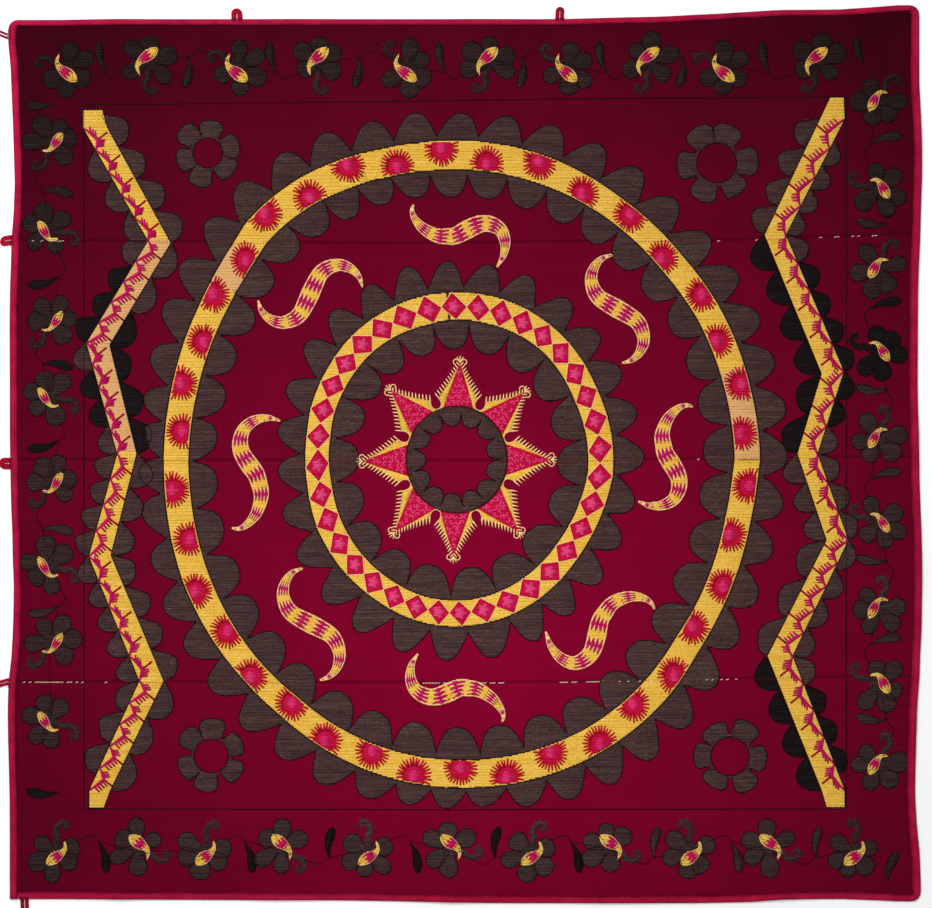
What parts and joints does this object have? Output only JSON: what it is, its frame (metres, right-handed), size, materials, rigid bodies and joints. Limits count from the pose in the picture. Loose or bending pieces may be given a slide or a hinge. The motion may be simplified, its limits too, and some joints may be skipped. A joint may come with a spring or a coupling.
{
  "type": "suzani embroidered textile",
  "caption": "Nearly square embroidered hanging of sewn loom widths, bound at the edge and fitted with tape loops, lying flat.",
  "frame": {"origin": "on the underside of the cloth, at the middle of the round medallion", "axes": "+X across the cloth along the loom widths, +Y up the cloth, +Z out of the embroidered face"},
  "size_m": [2.2261, 2.1891, 0.007],
  "materials": {
    "ground_cloth": "matte",
    "binding_tape": "matte",
    "loop_tape": "matte"
  },
  "bodies": {
    "root": {"panel_1": "ground_cloth", "panel_2": "ground_cloth", "panel_3": "ground_cloth", "panel_4": "ground_cloth", "binding_top": "binding_tape", "binding_right": "binding_tape", "binding_bottom": "binding_tape", "binding_left": "binding_tape", "loop_top_left": "loop_tape", "loop_top_middle": "loop_tape", "loop_corner": "loop_tape", "loop_side_upper": "loop_tape", "loop_side_middle": "loop_tape", "loop_side_lower": "loop_tape", "loop_foot": "loop_tape"}
  },
  "joints": []
}
